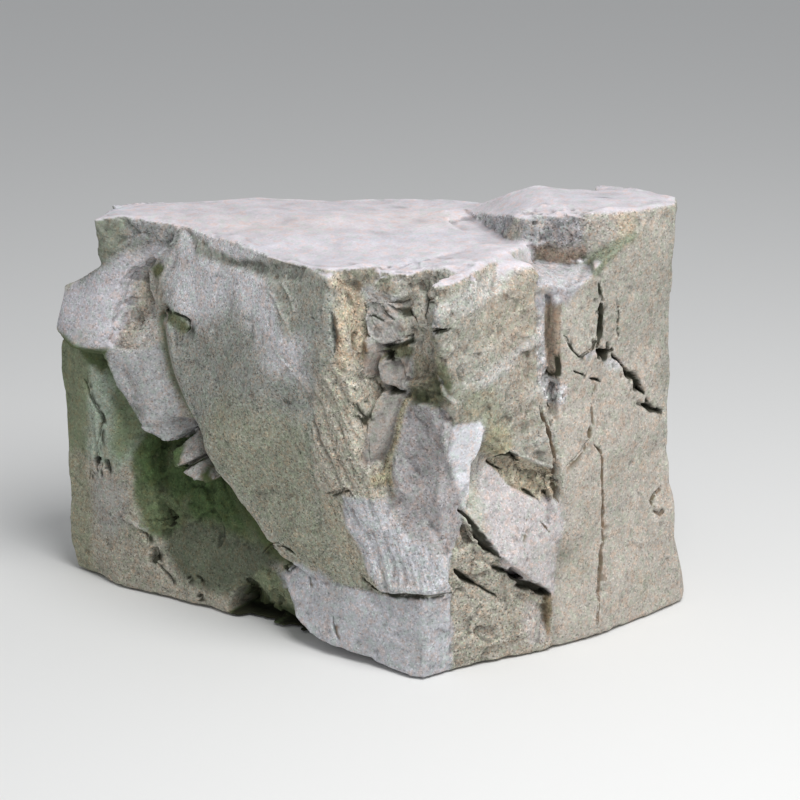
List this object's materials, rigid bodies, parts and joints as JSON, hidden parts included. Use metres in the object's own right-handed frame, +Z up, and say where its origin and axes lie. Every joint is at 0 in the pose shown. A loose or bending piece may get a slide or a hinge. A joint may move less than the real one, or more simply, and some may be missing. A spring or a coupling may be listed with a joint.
{
  "type": "garden boulder",
  "caption": "Large natural garden boulder with a flat top, a leaning slab face, a split right face and a level base to stand on the ground.",
  "frame": {"origin": "on the ground, at the middle of the stone's bounding box seen from above", "axes": "+Z up, +X along the stone's length towards the raised block, -Y towards the front corner"},
  "size_m": [1.142, 0.6982, 0.7565],
  "materials": {
    "stone": "rough weathered speckled stone with algae in the hollows"
  },
  "bodies": {
    "root": {"boulder": "stone"}
  },
  "joints": []
}
